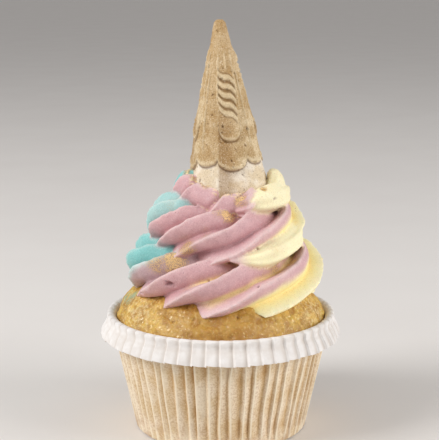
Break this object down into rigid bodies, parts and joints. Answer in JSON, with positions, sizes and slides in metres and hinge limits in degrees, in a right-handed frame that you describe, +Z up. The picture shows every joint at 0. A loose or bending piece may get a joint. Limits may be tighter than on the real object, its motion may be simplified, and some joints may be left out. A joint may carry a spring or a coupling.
{
  "type": "cupcake",
  "caption": "Cupcake in a pleated paper case, topped with a piped swirl of mauve, yellow and turquoise cream and an upside-down wafer cone.",
  "frame": {"origin": "middle of the flat floor of the paper case, on the surface the cupcake stands on", "axes": "+Z up through the swirl and the cone; -Y is the side that the picture shows; +X is the picture's right, where the yellow cream is"},
  "size_m": [0.0704, 0.0704, 0.1179],
  "materials": {
    "paper": "white greaseproof paper, matt, browned through by the cake where it touches, bright on the folded collar",
    "sponge": "golden baked sponge, open crumb, dry and matt with a few damp crumbs",
    "cream": "smooth whipped buttercream with a soft sheen: mauve at the front, pale yellow on the right, turquoise on the left, gold dust on some ridges",
    "wafer": "dry baked wafer, finely pitted, brushed with a little gold dust"
  },
  "bodies": {
    "root": {"paper_case": "paper", "sponge_cake": "sponge", "piped_cream": "cream", "wafer_cone": "wafer"}
  },
  "joints": []
}
